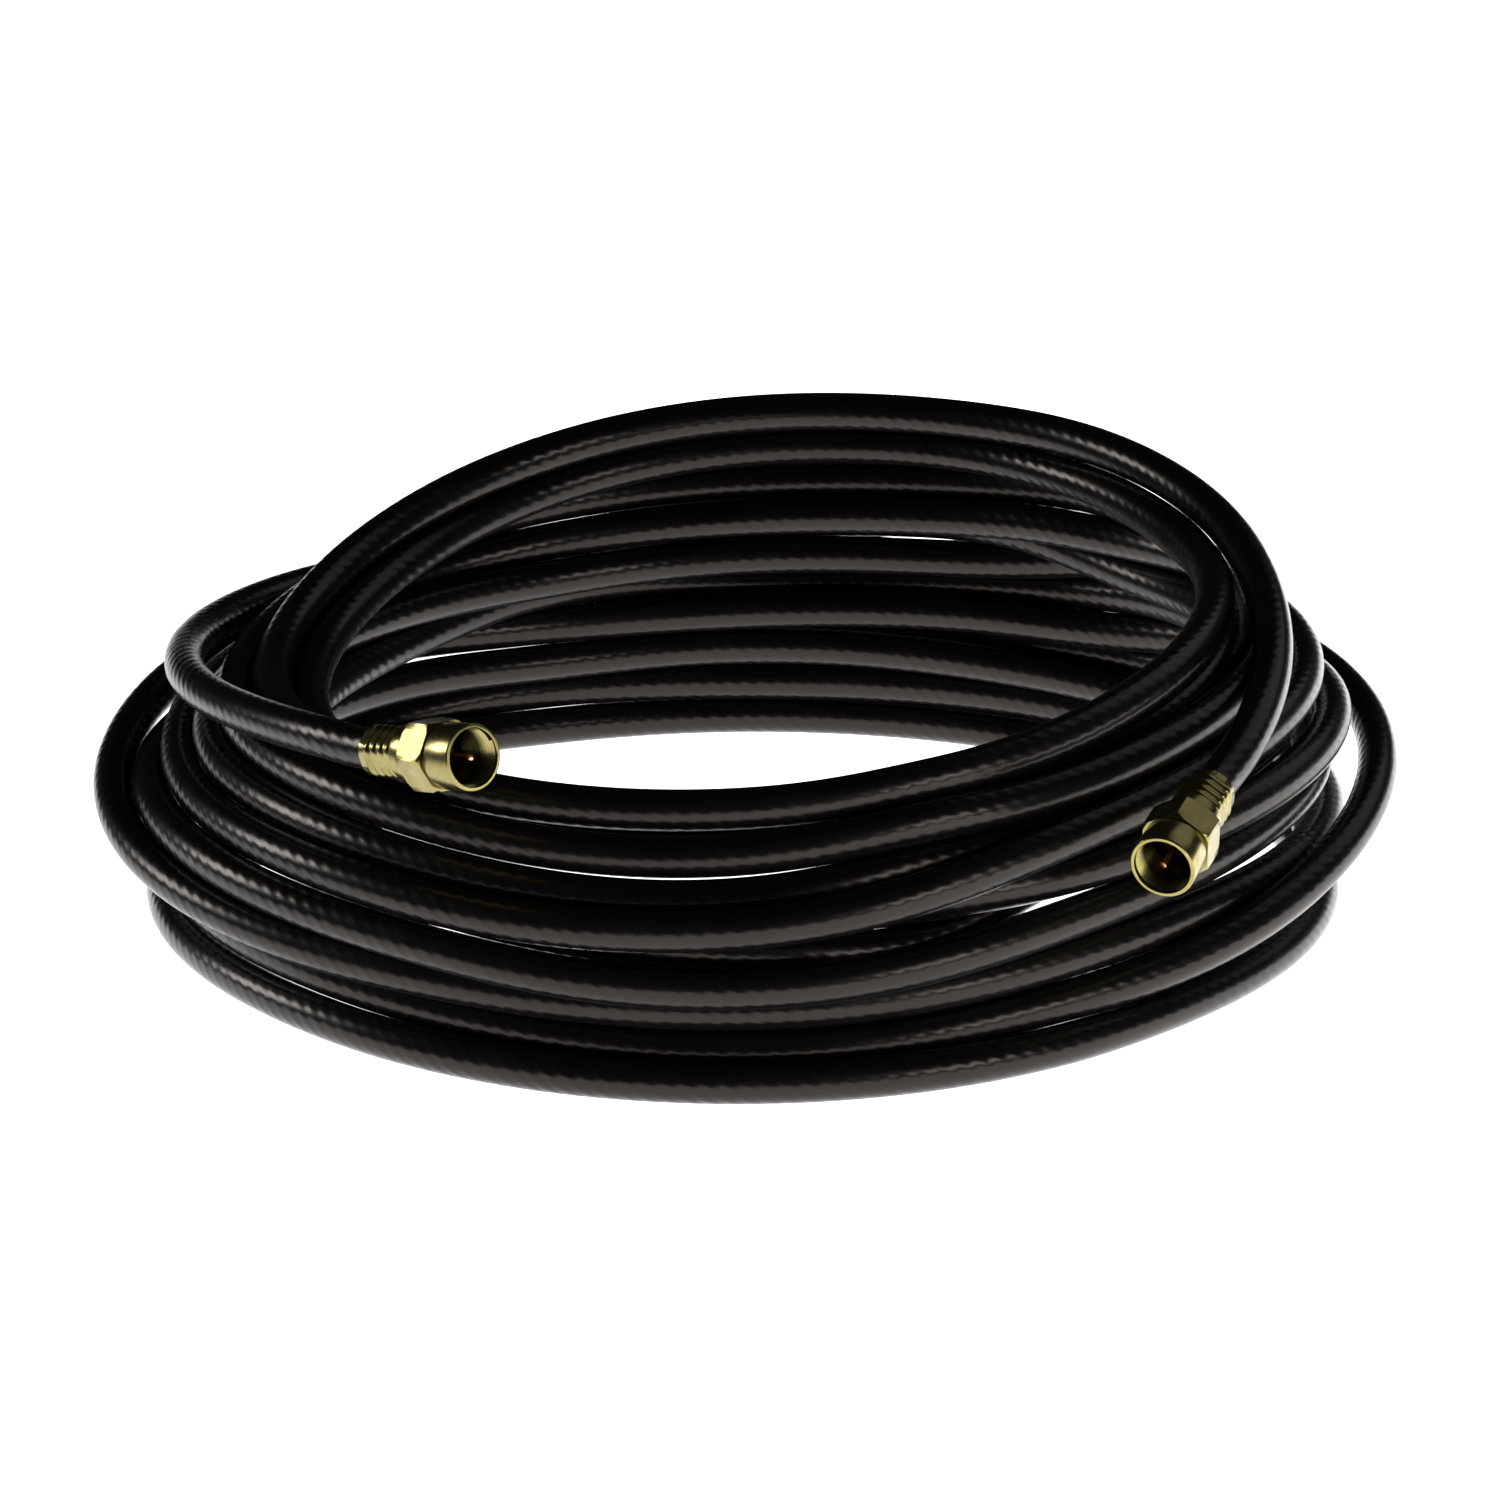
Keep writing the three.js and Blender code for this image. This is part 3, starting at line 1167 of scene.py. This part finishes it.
    @staticmethod
    def close_thread(shape: bmesh.types.BMesh, ring: list[bmesh.types.BMVert]) -> None:
        """Turn the thread's faces outward.

        Args:
            shape: the nut with its thread.
            ring: the corners of the thread's first end.
        """
        linked = set(ring)
        waiting = list(ring)
        while waiting:
            for edge in waiting.pop().link_edges:
                for vert in edge.verts:
                    if vert not in linked:
                        linked.add(vert)
                        waiting.append(vert)
        faces = [face for face in shape.faces if face.verts[0] in linked]
        bmesh.ops.recalc_face_normals(shape, faces=faces)

    def build(self) -> list[bpy.types.Object]:
        """Build the plug, and return its pieces."""
        return [self.ferrule(), self.post(), self.core(), self.wire(), self.nut()]


# Studio


@dataclass(frozen=True)
class SoftBox:
    """A soft box: where it hangs, the point that it faces, its width and height, and its watts."""

    name: str
    place: tuple[float, float, float]
    aim: tuple[float, float, float]
    size: tuple[float, float]
    power: float

    def hang(self) -> None:
        """Hang it."""
        data = bpy.data.lights.new(self.name, "AREA")
        data.shape = "RECTANGLE"
        data.size, data.size_y = self.size
        data.energy = self.power
        lamp = bpy.data.objects.new(self.name, data)
        lamp.location = self.place
        way = Vector(self.aim) - Vector(self.place)
        lamp.rotation_euler = way.to_track_quat("-Z", "Y").to_euler()
        bpy.context.scene.collection.objects.link(lamp)


SOFT_BOXES = (
    SoftBox("left", (-0.98, 0.20, 0.34), (-0.05, -0.08, 0.05), (0.3, 0.3), 3.2),
    SoftBox("right", (0.9, -0.9, 0.4), (0.06, -0.08, 0.04), (0.4, 0.3), 2.5),
    SoftBox("back", (0.75, 0.6, 0.85), (0.07, -0.07, 0.04), (0.8, 0.8), 0.8),
)


@dataclass
class Studio:
    """White paper floor, soft lights and the camera at the photograph's place."""

    distance: float = 1.130
    tilt: float = 20.0
    focal: float = 6441.0
    frame_side: float = 1500.0
    middle: tuple[float, float] = (740.0, 903.0)
    floor_side: float = 8.0
    sensor_width: float = 36.0
    far_clip: float = 50.0
    room_light: float = 0.012

    def camera(self) -> None:
        """Make the camera."""
        down = math.radians(self.tilt)
        data = bpy.data.cameras.new("camera")
        data.sensor_width = self.sensor_width
        data.lens = self.focal / self.frame_side * data.sensor_width
        data.shift_x = (self.frame_side / 2 - self.middle[0]) / self.frame_side
        data.shift_y = (self.middle[1] - self.frame_side / 2) / self.frame_side
        data.clip_end = self.far_clip
        view = bpy.data.objects.new("camera", data)
        view.location = (0, -self.distance * math.cos(down), self.distance * math.sin(down))
        view.rotation_euler = (math.pi / 2 - down, 0, 0)
        bpy.context.scene.collection.objects.link(view)
        bpy.context.scene.camera = view

    def floor(self) -> None:
        """Lay the floor."""
        shape = bmesh.new()
        bmesh.ops.create_grid(shape, x_segments=2, y_segments=2, size=self.floor_side / 2)
        add_piece("floor", shape, FloorFinish().material())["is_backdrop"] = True

    def lights(self) -> None:
        """Set the world's light and hang the soft boxes."""
        world = bpy.data.worlds.new("studio")
        world.use_nodes = True
        backdrop = world.node_tree.nodes["Background"]
        backdrop.inputs["Color"].default_value = (1.0, 1.0, 1.0, 1.0)
        backdrop.inputs["Strength"].default_value = self.room_light
        bpy.context.scene.world = world
        bpy.context.scene.view_settings.view_transform = "Standard"
        for soft_box in SOFT_BOXES:
            soft_box.hang()

    def build(self) -> None:
        """Make the camera, floor and lights."""
        self.camera()
        self.floor()
        self.lights()
        log.info("studio ready")


def corners_of(box: Any) -> list[list[float]]:
    """Return a box's two corners as plain lists.

    Args:
        box: the lowest and the highest corner.

    Returns:
        Both corners' numbers.
    """
    return [[float(value) for value in corner] for corner in box]


def main() -> list[list[float]]:
    """Load the frame and build every piece, in order.

    Returns:
        The CAD model's box.
    """
    logging.basicConfig(level=logging.INFO, format="%(message)s")
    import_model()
    cad_box = corners_of(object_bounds())
    Studio().build()
    cable = Cable()
    jacket = cable.build()
    finishes = [finish.material() for finish in (BRASS, POST_SHADE_METAL, COPPER, FoamFinish())]
    on_cable = []
    for place in PLUG_PLACES:
        on_cable += Plug(place, *finishes).build()
    return cad_box


if __name__ == "__main__":
    cad_model = main()
